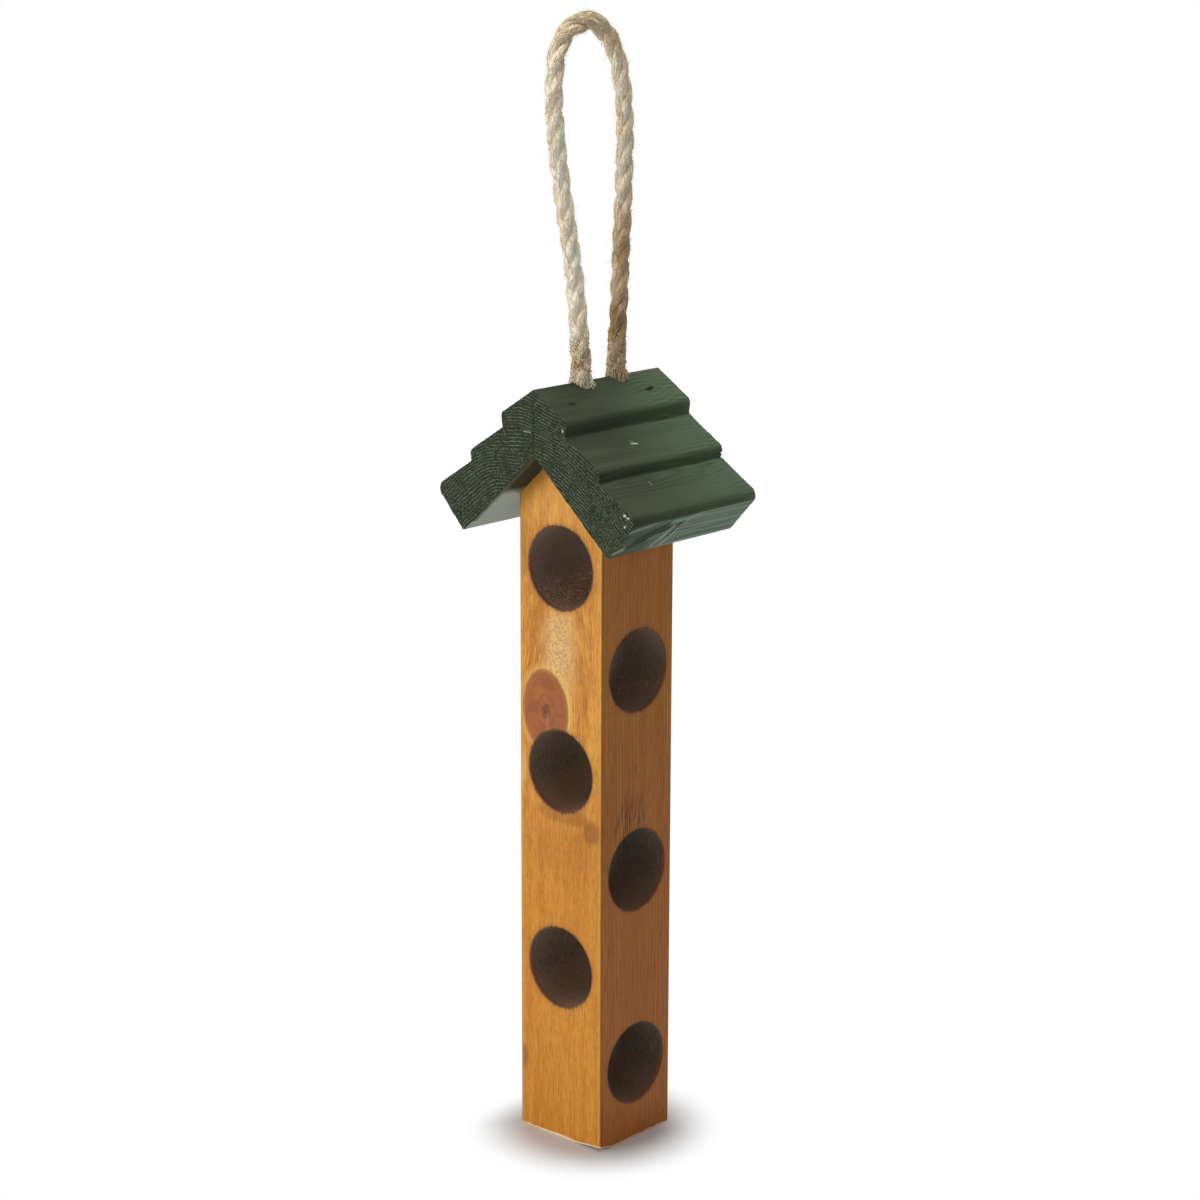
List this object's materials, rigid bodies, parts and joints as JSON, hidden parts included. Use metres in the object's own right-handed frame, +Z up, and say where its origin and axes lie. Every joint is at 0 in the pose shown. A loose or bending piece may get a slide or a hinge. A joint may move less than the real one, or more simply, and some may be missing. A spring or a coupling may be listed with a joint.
{
  "type": "suet log feeder",
  "caption": "Square pine suet log feeder with staggered through-holes for suet, a small stepped gable roof and a rope loop to hang it by.",
  "frame": {"origin": "centre of the post's flat base", "axes": "+Z up the post, the ridge along Y, the front gable faces -Y and the right-hand roof board lies on +X"},
  "size_m": [0.1036, 0.074, 0.4604],
  "materials": {
    "stained_pine": "satin honey-orange wood stain over planed pine",
    "painted_pine": "dark green satin paint over moulded pine",
    "sisal_rope": "undyed three-strand laid natural-fibre rope",
    "steel_wire": "bright drawn wire"
  },
  "bodies": {
    "root": {"post": "stained_pine", "roof_board_left": "painted_pine", "roof_board_right": "painted_pine", "hanging_rope": "sisal_rope", "rope_end_front": "sisal_rope", "rope_end_back": "sisal_rope", "roof_brads": "steel_wire", "rope_brads": "steel_wire"}
  },
  "joints": []
}
